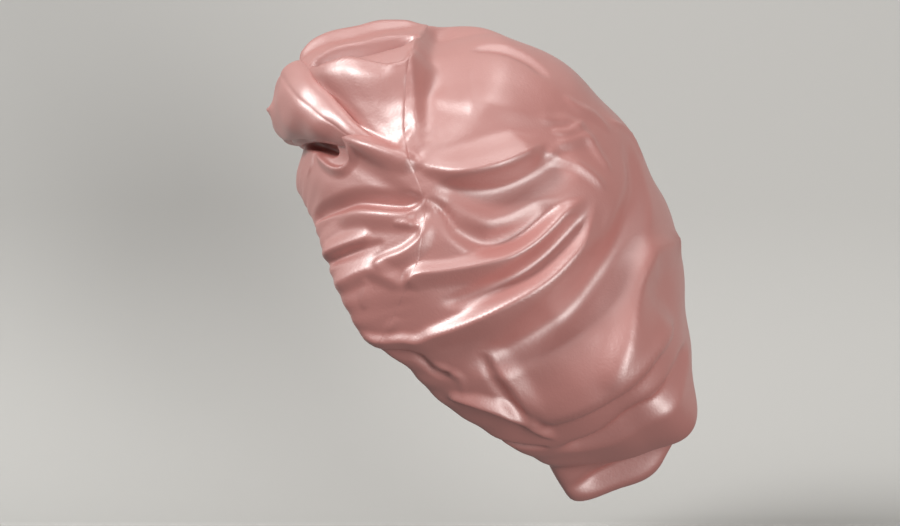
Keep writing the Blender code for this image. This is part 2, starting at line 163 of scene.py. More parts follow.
# Side outline: reach from the bag's centre as a share of an ellipse, on each side of the
# bag. The angle is 0 straight ahead and 90 straight up
OUTLINE = (
    # angle, left, right
    (0, 0.893, 0.893),
    (15, 0.887, 0.887),
    (25, 0.926, 0.926),
    (31, 0.940, 0.940),
    (37, 0.965, 0.965),
    (43, 1.120, 1.120),
    (48, 1.160, 1.160),
    (53, 1.132, 1.150),
    (60, 1.062, 1.084),
    (67, 1.024, 1.050),
    (74, 0.988, 1.020),
    (80, 0.962, 0.966),
    (95, 0.916, 0.916),
    (110, 0.878, 0.878),
    (125, 0.850, 0.850),
    (145, 0.845, 0.845),
    (160, 0.864, 0.864),
    (180, 0.917, 0.907),
    (200, 1.004, 0.974),
    (210, 1.105, 1.050),
    (220, 1.205, 1.110),
    (230, 1.110, 1.187),
    (240, 1.014, 1.142),
    (250, 0.934, 1.081),
    (260, 0.870, 0.952),
    (270, 0.812, 0.841),
    (286, 0.750, 0.758),
    (302, 0.774, 0.774),
    (320, 0.857, 0.857),
    (339, 0.927, 0.927),
    (350, 0.913, 0.913),
)
# The hem and the seam in the side view, as shares of LENGTH and HEIGHT
HEM = (
    # back, down
    (0.067, 0.279),
    (0.063, 0.378),
    (0.110, 0.447),
    (0.149, 0.526),
    (0.195, 0.610),
    (0.239, 0.672),
    (0.308, 0.713),
    (0.384, 0.779),
    (0.496, 0.846),
    (0.569, 0.887),
    (0.639, 0.939),
    (0.684, 0.976),
)
SEAM = (
    # back, down
    (0.377, 0.013),
    (0.358, 0.061),
    (0.343, 0.112),
    (0.328, 0.198),
    (0.328, 0.259),
    (0.340, 0.317),
    (0.366, 0.384),
    (0.370, 0.452),
    (0.351, 0.529),
    (0.316, 0.592),
    (0.278, 0.658),
    (0.252, 0.700),
)

# Folds on the wearer's left. Travelling along a fold, its left and right hand flanks
# reach that many millimetres; each place is a photo pixel and the height in millimetres
LEFT_FOLDS = (
    # name, sharpness, left, right, (px, py, up) places
    (
        "roll from the knot", 0.0, 7, 10,
        (334, 128, 0.6), (348, 137, 3.2), (364, 144, 4.4), (390, 153, 4), (424, 164, 3.4),
    ),
    (
        "upper pleat rim", 0.5, 4, 20,
        (297, 73, 1), (310, 65, 3.6), (327, 60, 5.6), (347, 57.5, 6.4), (364, 60.5, 6.8),
        (388, 63.5, 6.8), (404, 60, 6), (412, 52, 5), (414, 42, 3),
    ),
    (
        "hollow under the pleat rim", 0.1, 6, 9,
        (305, 80, -0.6), (340, 70, -1.5), (365, 74, -1.5), (400, 76, -0.8),
    ),
    (
        "pocket under the roll", 0.3, 6, 5,
        (298, 141, -6), (312, 146, -9), (326, 149, -10), (338, 152, -8), (345, 156, -4),
    ),
    (
        "hooked rim", 0.7, 5, 2.5,
        (341, 143, 2), (348, 152, 3.4), (345.5, 161, 3.6), (337, 167, 3.6), (327, 166, 3.4),
        (318, 159, 3), (313, 150, 2),
    ),
    ("rim under the knot", 0.5, 2, 3, (314, 150, 0.5), (309.5, 166, 1), (306, 178, 0.3)),
    (
        "cheek crease", 0.1, 9, 4,
        (302, 229, -1), (322, 217, -3), (345, 207, -4.4), (362, 203, -4.6), (397, 206, -4.4),
        (413, 204, -3.6), (428, 197, -1.2),
    ),
    (
        "fold under the cheek crease", 0.0, 5, 10,
        (330, 220, 0.6), (350, 215, 2.2), (365, 214, 2.6), (385, 215, 2.6), (403, 216, 2.2),
        (416, 214, 0.8),
    ),
    (
        "tuck at the seam", 0.6, 4, 3,
        (424, 199, -0.6), (436, 204, -2), (448, 217, -2), (455, 231, -0.6),
    ),
    ("seam pucker", 0.5, 3, 4, (392, 223, 0.5), (408, 224, 1.6), (422, 226, 1.2)),
    (
        "corner ridge", 0.1, 8, 5,
        (426, 214, 0.6), (424, 226, 2), (420.6, 238, 2.6), (412.6, 246, 2.8), (400, 254, 2.8),
        (381, 261, 2.4), (370, 268, 0.8),
    ),
    (
        "cheek streak", 0.1, 9, 6,
        (306, 262, 0.8), (320, 254, 2.6), (338, 246, 3), (356, 239, 2.4), (374, 233, 0.6),
    ),
    (
        "cheek trough", 0.1, 5, 6,
        (316, 270, -0.8), (328, 264, -2.2), (350, 254, -2.6), (372, 247, -1.6), (388, 242, -0.5),
    ),
    (
        "lower cheek fold", 0.2, 9, 8,
        (326, 288, 0.8), (340, 281, 2.6), (356, 273, 3), (370, 270, 2.8), (387, 278, 2.2),
        (407, 288, 0.8),
    ),
    ("cheek line", 0.7, 5, 5, (367, 277, 0.3), (364, 294, 1.1), (363, 311, 0.3)),
    ("line to the band's end", 0.7, 5, 5, (397, 318, 0.4), (390, 328, 1), (383, 339, 0.4)),
    (
        "jaw fold and long fold", 0.5, 8, 14,
        (346, 328, 1), (362, 339, 2.4), (380, 344, 2.6), (400, 343, 2.8), (417, 344, 3.4),
        (432, 338, 4.6), (448, 333, 5.8), (470, 324, 7), (503, 308, 8.4), (545, 284, 8.6),
        (570, 262, 8), (585, 243, 6.6), (594, 216, 3), (598, 196, 1),
    ),
    (
        "groove under the jaw fold", 0.4, 3, 5,
        (360, 345, -1), (374, 350, -2.2), (397, 351, -2.6), (415, 353, -2.6), (425, 359, -2.6),
        (436, 369, -2.4), (446, 371, -2), (455, 364, -1),
    ),
    (
        "long valley", 0.0, 17, 17,
        (462, 368, -2), (490, 356, -5), (520, 342, -7), (556, 320, -8.6), (585, 292, -9),
        (608, 258, -8), (624, 224, -6.4), (632, 190, -4.4), (628, 156, -2), (620, 130, -0.6),
    ),
    (
        "first ridge", 0.55, 20, 9,
        (412, 159, 0.8), (422, 162.5, 2), (436, 167.5, 4), (456, 170.5, 7), (480, 168, 9),
        (505, 161, 10), (530, 150, 8), (550, 138, 3),
    ),
    (
        "hollow under the first ridge", 0.0, 9, 20,
        (430, 188, -1.5), (470, 194, -4), (505, 190, -5), (540, 174, -4), (575, 148, -1.5),
    ),
    (
        "middle fold", 0.5, 8, 11,
        (400, 292, 1.5), (408, 281, 3.4), (418, 274, 4.2), (445, 271, 4.6), (480, 265, 5.4),
        (511, 256, 6), (538, 239, 6), (557, 220, 5), (572, 208, 3.4), (590, 198, 1.6),
    ),
    (
        "hollow over the middle fold", 0.0, 13, 9,
        (430, 200, -0.6), (444, 214, -2.6), (462, 232, -4.6), (486, 243, -5.6), (512, 238, -6),
        (540, 220, -5), (562, 198, -1.6),
    ),
    (
        "pocket over the long fold", 0.0, 9, 8,
        (436, 304, -0.6), (466, 298, -2.4), (503, 283, -3.6), (537, 261, -4), (562, 237, -3.4),
        (582, 213, -1),
    ),
    (
        "nape crease", 0.3, 9, 5,
        (480, 360, -0.4), (494, 380, -1.4), (506, 396, -1.8), (519, 412, -1.6), (532, 428, -0.5),
    ),
    (
        "nape line", 0.7, 12, 6,
        (482, 350, 0.6), (492, 363, 2.4), (508, 385, 3.4), (524, 408, 3.4), (540, 432, 1),
    ),
    (
        "low band line", 0.6, 4, 5,
        (431, 362, 0.5), (446, 371, 1.4), (460, 379, 1.4), (464, 397, 0.4),
    ),
    (
        "hem roll", 0.3, 7, 5,
        (444, 398, 1.4), (456, 401, 3.4), (475, 407, 5), (498, 416, 5.6), (520, 426, 5.4),
        (540, 436, 4), (558, 443, 1),
    ),
    (
        "hem pocket", 0.3, 3, 4,
        (470, 422, -1.2), (490, 431, -3.4), (512, 437, -4), (535, 442, -3), (552, 446, -0.8),
    ),
    (
        "sweep fold", 0.4, 42, 10,
        (530, 428, 2), (560, 420, 7), (599, 404, 12), (640, 374, 13), (664, 342, 10.5),
        (680, 308, 4),
    ),
    (
        "trough under the sweep", 0.2, 10, 12,
        (552, 446, -3), (599, 431, -6), (643, 403, -7), (668, 372, -6), (682, 340, -3),
    ),
    (
        "back wedge", 0.6, 14, 18,
        (604, 388, 1), (613, 366, 3), (626, 332, 5.6), (640, 292, 7), (654, 264, 7),
        (668, 246, 5.4), (680, 236, 2),
    ),
    (
        "first crumple", 0.6, 7, 6,
        (536, 117, 0.3), (553, 119, 0.8), (572, 119, 1.2), (588, 131, 1.2), (602, 146, 0.4),
    ),
    (
        "second crumple", 0.6, 6, 6,
        (552, 146, 0.4), (574, 139, 1.6), (590, 136, 1.8), (604, 156, 1.4), (614, 174, 0.4),
    ),
    ("third crumple", 0.5, 7, 7, (562, 94, 0.4), (580, 106, 1.4), (597, 114, 1.4), (614, 134, 0.4)),
    (
        "fourth crumple", 0.6, 6, 6,
        (544, 152, 1), (560, 155, 2), (578, 162, 2.2), (594, 174, 2), (608, 192, 0.8),
    ),
    (
        "fifth crumple", 0.6, 4, 5,
        (552, 128, 0.6), (566, 130, 1.6), (578, 126, 1.4), (586, 118, 0.6),
    ),
    ("dent by the top", 0.1, 8, 9, (470, 44, -1), (500, 52, -2.4), (526, 64, -2.2), (548, 82, -1)),
    ("ironed crease", 0.9, 5, 5, (469, 58, 0.2), (470, 84, 0.5), (472, 116, 0.2)),
    (
        "top crease", 0.2, 18, 12,
        (428, 84, 0.4), (450, 92, 1), (480, 100, 1.4), (510, 107, 1.4), (540, 114, 1),
        (560, 122, 0.4),
    ),
    (
        "hollow behind the seam", 0.0, 40, 13,
        (450, 20, -5), (442, 42, -8), (437, 66, -9), (434, 90, -7.4), (433, 112, -5),
        (434, 132, -2), (436, 148, -0.5),
    ),
    (
        "hollow in the flat panel", 0.1, 29, 8,
        (298, 90, -4), (324, 106, -7.6), (350, 121, -9), (374, 133, -8), (392, 141, -4.6),
        (406, 147, -1),
    ),
)
# The wearer's right is hidden in the photo: the left's folds stand for it, a little turned
# and lower, with a few of its own
RIGHT_TURN = 5
RIGHT_SHARE = 0.9
RIGHT_LEAVES_OUT = (
    "hooked rim",
    "rim under the knot",
    "pocket under the roll",
    "ironed crease",
    "hem pocket",
)
RIGHT_FOLDS = (
    # name, sharpness, left, right, (back, down, up) places
    ("pouch fold", 0.4, 8, 8, (0.87, 0.79, 1), (0.74, 0.89, 4.4), (0.60, 0.91, 1.4)),
    ("crown crease", 0.7, 6, 6, (0.50, 0.12, 0.4), (0.60, 0.15, 1.6), (0.70, 0.16, 0.6)),
)
# Folds that cross from side to side: places as side view angle, degrees out from the
# middle towards the wearer's left, and the height
ROUND_FOLDS = (
    # name, sharpness, left, right, (angle, across, up) places
    (
        "cleft between the lobes", 0.2, 13, 13,
        (202, 12, -3), (216, 10, -8), (232, 8, -9), (252, 5, -4),
    ),
    (
        "near top pleat", 0.4, 9, 8,
        (45, 6, 1), (52, 5, 4.5), (60, 4.5, 5), (68, 4, 4.5), (77, 4, 0.5),
    ),
    (
        "pleat pocket", 0.2, 9, 22,
        (46, 18, -4), (52, 17, -11), (58, 16.5, -13), (64, 16.5, -13), (70, 17, -11), (74, 18, -5),
    ),
    (
        "groove between the top pleats", 0.3, 6, 6,
        (48, -1.5, -1), (56, -2, -4), (66, -2, -4.5), (77, -2, -1),
    ),
    (
        "far top pleat", 0.4, 10, 9,
        (46, -9, 1), (56, -9, 5), (66, -9, 6), (73, -9, 5.5), (79, -8, 0.5),
    ),
    ("far pocket", 0.3, 9, 10, (50, -20, -2), (58, -20, -6), (68, -20, -6), (76, -21, -1)),
    ("back fold", 0.3, 12, 12, (112, -16, 1), (134, -24, 4), (160, -30, 4.5), (186, -30, 1)),
    ("back trough", 0.2, 12, 13, (116, -8, -1), (140, -14, -3), (166, -16, -4), (196, -10, -1)),
    ("low back fold", 0.4, 11, 9, (176, -6, 1), (190, -12, 3), (206, -20, 4.5), (222, -28, 1)),
    (
        "right back trough", 0.2, 10, 12,
        (172, -4, -1), (192, -17, -4), (212, -32, -4), (228, -42, -1),
    ),
    ("top crease", 0.6, 8, 8, (90, -30, -0.6), (100, -14, -2.4), (110, 0, -2.4), (120, 10, -0.6)),
    ("top ridge", 0.6, 7, 8, (94, -26, 0.5), (106, -10, 1.8), (118, 2, 0.5)),
    ("back crumple", 0.7, 6, 6, (132, 26, 0.5), (140, 18, 1.8), (150, 20, 0.5)),
    ("low crumple", 0.7, 6, 7, (196, -30, 0.5), (204, -20, 2), (216, -18, 0.5)),
)

# Satin, as the light leaves it
SATIN_LIGHT = (0.54, 0.180, 0.156, 1.0)
SATIN_DEEP = (0.49, 0.152, 0.129, 1.0)
SATIN_DRIFT = {"Scale": 9.0, "Detail": 3.0}
SATIN_THREADS = {"Scale": 900.0, "Detail": 2.0}
SATIN_CRUMPLE = {"Scale": 60.0, "Detail": 4.0}
SATIN_CREASES = {"Scale": 420.0, "Detail": 3.0}
THREADS_SHARE = 0.34  # of the crumple's height
CREASES_SHARE = 0.32
BUMP = {"Strength": 0.22, "Distance": 0.0010}
ROUGHNESS = 0.45
THREADS_ROUGHNESS = 0.08
OBJECT_PLACE = 3  # outputs and inputs that nodes know by number only
BACK_SIDE = 6
MIX_FACTOR = 0
MIX_FIRST = 6
MIX_SECOND = 7
MIX_COLOUR = 2

# The backdrop and the light
BACKDROP_COLOUR = (0.56, 0.565, 0.55, 1.0)
BACKDROP_ROUGHNESS = 0.9
FLOOR_UP = -0.305
FLOOR_FRONT = -0.20
WALL_PLACE = -0.42
WALL_HEIGHT = 3.0
BACKDROP_HALF_WIDTH = 3.0
SWEEP = 0.25
SWEEP_STEPS = 16
LIGHTS = (
    # name, place, size, watts, colour
    ("key", (1.05, -1.80, 1.60), 0.75, 49, (1.0, 0.98, 0.96)),
    ("room", (1.8, 0.95, 0.20), 0.8, 12, (1.0, 0.98, 0.96)),
    ("top", (0.25, 0.10, 1.25), 0.7, 4, (1.0, 0.98, 0.96)),
    ("low", (1.45, 1.05, -0.55), 0.7, 9, (1.0, 0.97, 0.94)),
)
WORLD_COLOUR = (1.0, 0.94, 0.91, 1.0)
WORLD_STRENGTH = 0.18


def ease(share):
    """From 0 to 1 as share does, level at both ends."""
    share = np.clip(share, 0.0, 1.0)
    return share * share * (3 - 2 * share)


def curve_through(keys, values, at):
    """The smooth curve through rows of keys and values, read at each number in at."""
    keys = np.asarray(keys, float)
    values = np.asarray(values, float)
    slopes = np.gradient(values, keys, axis=0)
    row = np.clip(np.searchsorted(keys, at, side="right") - 1, 0, len(keys) - 2)
    span = keys[row + 1] - keys[row]
    t = (at - keys[row]) / span
    if values.ndim > 1:
        t, span = t[:, None], span[:, None]
    start = (1 + 2 * t) * (1 - t) ** 2 * values[row] + t * (1 - t) ** 2 * span * slopes[row]
    end = t * t * (3 - 2 * t) * values[row + 1] + t * t * (t - 1) * span * slopes[row + 1]
    return start + end


def curve_around(keys, values, at):
    """The same, for keys in degrees that close on themselves."""
    keys = np.asarray(keys, float)
    order = np.argsort(keys)
    keys, values = keys[order], np.asarray(values, float)[order]
    keys = np.concatenate([keys - ROUND, keys, keys + ROUND])
    values = np.concatenate([values, values, values])
    return curve_through(keys, values, at)


def unit(vectors):
    """The same directions, each of length 1."""
    return vectors / np.maximum(np.linalg.norm(vectors, axis=-1, keepdims=True), TINY)


def side_direction(angle):
    """The unit direction at an angle of the side view."""
    turn = math.radians(angle)
    return np.array([0.0, -math.cos(turn), math.sin(turn)])


POLE = side_direction(POLE_ANGLE)
TOWARDS_BROW = side_direction(POLE_ANGLE - 90)
TOWARDS_LEFT = np.array([1.0, 0.0, 0.0])


def outline_reach(angle, leftness):
    """The side outline's distance from the bag's centre, from 0 on the right to 1 on the left."""
    rows = np.array(OUTLINE)
    left = curve_around(rows[:, 0], rows[:, 1], angle)
    right = curve_around(rows[:, 0], rows[:, 2], angle)
    turn = np.radians(angle)
    ellipse = 1 / np.hypot(np.cos(turn) / (LENGTH / 2), np.sin(turn) / (HEIGHT / 2))
    return ellipse * (right + (left - right) * leftness)


def side_angle(back, up):
    """The angle of the side view at which a place lies, from the bag's centre."""
    return np.degrees(np.arctan2(up, -back)) % ROUND


def plain_form(directions):
    """The bag without folds: a point of the cloth for each unit direction from its centre."""
    across, back, up = directions.T
    flat = np.hypot(back, up)
    leftness = ease((across - LOBE_START_SHARE) / (LOBE_END_SHARE - LOBE_START_SHARE))
    outline = outline_reach(side_angle(back, up), leftness)
    power = (flat / outline) ** FULLNESS + (np.abs(across) / (WIDTH / 2)) ** FULLNESS
    return directions * (power ** (-1 / FULLNESS))[:, None]


def outward(directions):
    """Unit normals of the plain form."""
    helper = np.where(np.abs(directions[:, :1]) < STEEP, [[1.0, 0, 0]], [[0, 1.0, 0]])
    first = unit(np.cross(directions, helper))
    second = np.cross(directions, first)
    edges = []
    for lean in (first, second):
        ends = [plain_form(unit(directions + sign * NORMAL_STEP * lean)) for sign in (1, -1)]
        edges.append(ends[0] - ends[1])
    normals = unit(np.cross(*edges))
    return normals * np.sign((normals * directions).sum(axis=1))[:, None]


def on_side(places, side):
    """Points of the plain form seen at (back, down) places from the left, 1, or right, -1."""
    places = np.asarray(places, float)
    back = (places[:, 0] - 0.5) * LENGTH
    up = (0.5 - places[:, 1]) * HEIGHT
    outline = outline_reach(side_angle(back, up), np.full(len(back), 1.0 if side > 0 else 0.0))
    share = np.clip(np.hypot(back, up) / outline, 0, 1)
    across = side * WIDTH / 2 * (1 - share**FULLNESS) ** (1 / FULLNESS)
    return np.column_stack([across, back, up])


def on_round(places):
    """Points of the plain form at (angle, across) places in degrees."""
    angle, across = np.radians(np.asarray(places, float)).T
    directions = np.column_stack(
        [np.sin(across), -np.cos(angle) * np.cos(across), np.sin(angle) * np.cos(across)]
    )
    return plain_form(directions)


def in_photo(points):
    """Where the photo's camera sees points given from the bag's centre, in pixels."""
    shrink = 1 - points[:, 0] / CAMERA_DISTANCE
    flat = np.column_stack([points[:, 1], -points[:, 2]]) / PIXEL
    return PHOTO_MIDDLE_PX + (flat + BAG_MIDDLE_PX - PHOTO_MIDDLE_PX) / shrink[:, None]


def out_of_photo(pixels, across):
    """How far back and down from the bag's centre pixels lie, that far out to the left."""
    shrink = (1 - across / CAMERA_DISTANCE)[:, None]
    return ((pixels - PHOTO_MIDDLE_PX) * shrink + PHOTO_MIDDLE_PX - BAG_MIDDLE_PX) * PIXEL


def on_photo(pixels, heights):
    """Points of the plain form whose lifted place the photo's camera sees at these pixels."""
    sought = np.asarray(pixels, float)
    across = np.full(len(sought), WIDTH / 4)
    for _ in range(SIGHT_TRIES):
        flat = out_of_photo(sought, across)
        places = np.column_stack([flat[:, 0] / LENGTH + 0.5, flat[:, 1] / HEIGHT + 0.5])
        points = on_side(places, 1)
        across = points[:, 0]
        lifted = points + outward(unit(points)) * heights[:, None]
        sought = sought + SIGHT_SHARE * (np.asarray(pixels, float) - in_photo(lifted))
    return points


def from_pole(directions):
    """How far directions lie from the pole, and round it from the brow, in degrees."""
    polar = np.degrees(np.arccos(np.clip(directions @ POLE, -1, 1)))
    turn = np.degrees(np.arctan2(directions @ TOWARDS_LEFT, directions @ TOWARDS_BROW))
    return polar, turn


def to_directions(polar, turn):
    """Unit directions from the bag's centre, from their angles off the pole and round it."""
    polar, turn = np.radians(polar)[:, None], np.radians(turn)[:, None]
    around = TOWARDS_BROW * np.cos(turn) + TOWARDS_LEFT * np.sin(turn)
    return POLE * np.cos(polar) + around * np.sin(polar)


def edge_rows(places):
    """(turn, polar) rows of an edge given by its places on one side, for both sides."""
    rows = {}
    for side in (1, -1):
        points = on_side(places, side)
        for end in (0, -1):
            if abs(points[end, 0]) < NEAR_MIDDLE:
                points[end, 0] = 0.0
        polar, turn = from_pole(unit(points))
        for each, angle in zip(turn, polar):
            rows[round(float(each) % ROUND, 3)] = float(angle)
    turns = sorted(rows)
    return np.array(turns), np.array([rows[turn] for turn in turns])


HEM_ROWS = edge_rows(HEM)
SEAM_ROWS = edge_rows(SEAM)


def hem_polar(turn):
    """How far the hem lies from the pole at each turn round it."""
    return curve_around(*HEM_ROWS, turn % ROUND)


def seam_polar(turn):
    """How far the seam lies from the pole at each turn round it."""
    return curve_around(*SEAM_ROWS, turn % ROUND)


def band_tip():
    """The turn round the pole at which the band has tapered away."""
    turns = np.arange(*TIP_SEARCH)
    width = np.radians(hem_polar(turns) - seam_polar(turns))
    return float(turns[np.argmax(width < TIP_SHARE)])


BAND_TIP = band_tip()


def crown_edge(turn):
    """The crown's edge: the seam over the band, the hem behind the band's ends."""
    past = np.abs((turn + 180) % ROUND - 180) - BAND_TIP
    step = ease(past / BAND_END_REACH)
    seam, hem = seam_polar(turn), hem_polar(turn)
    held = np.where(past > 0, np.maximum(seam, hem - math.degrees(TIP_SHARE)), seam)
    over = SEAM_OVERLAP * ease(-past / BAND_END_REACH)
    return held + (hem - held) * step + over


def knot_frame():
    """The knot's middle, across and upwards directions."""
    return side_direction(KNOT_ANGLE), TOWARDS_LEFT, side_direction(KNOT_ANGLE + 90)


def knot_share(directions):
    """0 at the knot's middle and 1 at the edge of its footprint."""
    middle, across, upwards = knot_frame()
    reach = float(np.linalg.norm(plain_form(middle[None, :])))
    ahead = directions @ middle
    wide = np.arctan2(directions @ across, ahead) * reach / (KNOT_WIDTH / 2)
    high = np.arctan2(directions @ upwards, ahead) * reach / (KNOT_HEIGHT / 2)
    return np.hypot(wide, high)


def fold_line(points, up, left, right, sharpness):
    """A fold as a close line of points on the plain form, with its heights and flanks."""
    keys = np.arange(len(points))
    at = np.linspace(0, len(points) - 1, FOLD_POINTS)
    line = plain_form(unit(curve_through(keys, points, at)))
    share = at / at[-1]
    up = curve_through(keys, up, at) * ease(share / FOLD_END) * ease((1 - share) / FOLD_END)
    flanks = FOLD_NARROWING + (1 - FOLD_NARROWING) * np.abs(up) / np.abs(up).max()
    along = unit(np.gradient(line, axis=0))
    return {
        "line": line,
        "up": up,
        "along": along,
        "left hand": unit(np.cross(outward(unit(line)), along)),
        "left": left / MILLIMETRES * flanks,
        "right": right / MILLIMETRES * flanks,
        "sharpness": sharpness,
    }


def on_far_side(points):
    """The near side's points mirrored and turned about the line from ear to ear."""
    turn = math.radians(RIGHT_TURN)
    back = points[:, 1] * math.cos(turn) - points[:, 2] * math.sin(turn)
    up = points[:, 1] * math.sin(turn) + points[:, 2] * math.cos(turn)
    return plain_form(unit(np.column_stack([-points[:, 0], back, up])))


def fold_lines():
    """The lines of all folds."""
    lines = []
    for name, sharpness, left, right, *places in LEFT_FOLDS:
        places = np.array(places, float)
        up = places[:, 2] / MILLIMETRES
        points = on_photo(places[:, :2], up)
        lines.append(fold_line(points, up, left, right, sharpness))
        if name not in RIGHT_LEAVES_OUT:
            lines.append(fold_line(on_far_side(points), up * RIGHT_SHARE, right, left, sharpness))
    for folds, place in ((RIGHT_FOLDS, lambda spots: on_side(spots, -1)), (ROUND_FOLDS, on_round)):
        for name, sharpness, left, right, *places in folds:
            places = np.array(places, float)
            points = place(places[:, :2])
            lines.append(fold_line(points, places[:, 2] / MILLIMETRES, left, right, sharpness))
    return lines


FOLDS = fold_lines()


def fold_profile(spread, sharpness):
    """Height across a fold, from 1 on its crest to 0 at its foot: round, or with a crease."""
    rest = np.clip(1 - spread, 0, 1)
    return (1 - sharpness) * ease(rest) + sharpness * rest**CREASE_POWER


def fold_lift(plain):
    """How far the folds lift each point of the plain form."""
    lift = np.zeros(len(plain))
    for fold in FOLDS:
        line = fold["line"]
        reach = max(fold["left"].max(), fold["right"].max())
        low, high = line.min(axis=0) - reach, line.max(axis=0) + reach
        near = np.flatnonzero(((plain > low) & (plain < high)).all(axis=1))
        if not len(near):
            continue
        points = plain[near]
        gaps = ((points[:, None, :] - line[None, :, :]) ** 2).sum(axis=2)
        row = gaps.argmin(axis=1)
        offset = points - line[row]
        ahead = (offset * fold["along"][row]).sum(axis=1)
        step = np.linalg.norm(np.diff(line, axis=0), axis=1).mean()
        at = np.clip(row + ahead / step, 0, FOLD_POINTS - 1)
        inner = (at > 0) & (at < FOLD_POINTS - 1)
        beside = np.sqrt(np.maximum((offset**2).sum(axis=1) - np.where(inner, ahead, 0) ** 2, 0))
        hand = (offset * fold["left hand"][row]).sum(axis=1)
        index = np.arange(FOLD_POINTS)
        left = np.interp(at, index, fold["left"])
        right = np.interp(at, index, fold["right"])
        lean = ease(hand / (FOLD_LEAN_SHARE * reach) + 0.5)
        flank = right + (left - right) * lean
        lift[near] += np.interp(at, index, fold["up"]) * fold_profile(beside / flank, fold["sharpness"])
    return lift


def rough(points, scale, seed):
    """A smooth uneven field at each point, from about -1 to 1."""
    random = np.random.default_rng(seed)
    values = np.zeros(len(points))
    for _ in range(ROUGH_WAVES):
        along = unit(random.normal(size=3))
        wave = along * random.uniform(ROUGH_LONGEST, ROUGH_SHORTEST) * math.pi / scale
        values += np.sin(points @ wave + random.uniform(0, 2 * math.pi))
    return values * math.sqrt(2 / ROUGH_WAVES)


def cloth_points(polar, turn, under=False):
    """Outer points of the folded cloth, from the bag's centre: the band, or the crown under it."""
    directions = to_directions(polar, turn)
    plain = plain_form(directions)
    normals = outward(directions)
    lift = fold_lift(plain)
    radius = np.linalg.norm(plain, axis=1)
    from_hem = np.radians(hem_polar(turn) - polar) * radius
    sway_size, sway_scale, sway_seed = SWAY
    sway = sway_size * rough(directions, sway_scale, sway_seed)
    wave = np.cos(np.radians(GATHERS * turn + GATHER_SWAY * sway))
    lift *= 1 - HEM_HOLD_SHARE * (1 - ease(from_hem / HEM_HOLD_REACH))
    lift += GATHER_DEPTH * np.exp(-np.maximum(from_hem, 0) / GATHER_REACH) * wave
    on_band = np.abs(turn) < BAND_TIP
    from_seam = np.abs(np.radians(seam_polar(turn) - polar)) * radius
    from_seam = np.where(on_band, from_seam, NO_SEAM_NEAR)
    pucker = np.cos(np.radians(PUCKERS * turn + PUCKER_SWAY * sway))
    lift += PUCKER_DEPTH * np.exp(-from_seam / PUCKER_REACH) * pucker
    lift += sum(depth * rough(plain, scale, seed) for depth, scale, seed in UNEVEN)
    lift *= ease((knot_share(directions) - 1.0) / KNOT_CALM_SHARE)
    lift -= HEM_CURL * np.exp(-np.maximum(from_hem, 0) / HEM_CURL_REACH)
    strength = 1 - SEAM_CALM_SHARE * ease((np.abs(turn) - SEAM_CALM_START) / SEAM_CALM_REACH)
    if under:
        behind = np.where(polar > seam_polar(turn), 0.0, from_seam)
        lift -= SEAM_STEP * strength * np.exp(-((behind / SEAM_STEP_REACH) ** 2))
    else:
        lift -= SEAM_EDGE * strength * np.exp(-((from_seam / SEAM_EDGE_REACH) ** 2))
    return plain + normals * lift[:, None]


def grid_object(name, columns, rows):
    """A flat grid from -1 to 1 both ways, as a new object, and its points."""
    bpy.ops.object.select_all(action="DESELECT")
    bpy.ops.mesh.primitive_grid_add(x_subdivisions=columns, y_subdivisions=rows, size=2)
    piece = bpy.context.object
    piece.name = name
    piece.data.name = name
    flat = np.empty(len(piece.data.vertices) * 3)
    piece.data.vertices.foreach_get("co", flat)
    return piece, flat.reshape(-1, 3)[:, :2]


def set_points(piece, points):
    """Moves all of a piece's vertices."""
    piece.data.vertices.foreach_set("co", points.ravel())
    piece.data.update()


def finish_cloth(piece, points, material):
    """Puts the cloth in place, turns its faces outward and gives it its wall."""
    set_points(piece, points + BAG_CENTRE)
    middle = piece.data.polygons[len(piece.data.polygons) // 2]
    if middle.normal.dot(middle.center - Vector(BAG_CENTRE)) < 0:
        piece.data.flip_normals()
    piece.data.materials.append(material)
    bpy.ops.object.shade_smooth()
    wall = piece.modifiers.new("wall", "SOLIDIFY")
    wall.thickness = CLOTH
    wall.offset = -1
    bpy.ops.object.modifier_apply(modifier=wall.name)


def make_crown_bag(material):
    """The crown: a square grid drawn out to a disc, from the pole to the seam and hem."""
    piece, flat = grid_object("satin_crown", CROWN_CELLS, CROWN_CELLS)
    x, y = flat.T
    towards_brow = x * np.sqrt(1 - y * y / 2)
    towards_left = y * np.sqrt(1 - x * x / 2)
    turn = np.degrees(np.arctan2(towards_left, towards_brow))
    share = np.minimum(np.hypot(towards_brow, towards_left), 1)
    inward = 1 - share
    crowded = 1 - inward * (1 - EDGE_CROWDING * np.exp(-inward / EDGE_CROWDING_REACH))
    share = np.where(share > EDGE_CROWDING_START, crowded, share)
    points = cloth_points(share * crown_edge(turn), turn, under=True)
    finish_cloth(piece, points, material)
    return piece


def make_front_band(material):
    """The band: a grid from the seam to the hem, from one tapered end to the other."""
    piece, flat = grid_object("satin_band", BAND_COLUMNS, BAND_ROWS)
    turn = flat[:, 0] * BAND_TIP
    top = seam_polar(turn)
    share = (flat[:, 1] + 1) / 2
    share *= 1 - EDGE_CROWDING * np.exp(-share / EDGE_CROWDING_REACH)
    polar = top + (hem_polar(turn) - top) * share
    points = cloth_points(polar, turn)
    finish_cloth(piece, points, material)
    return piece


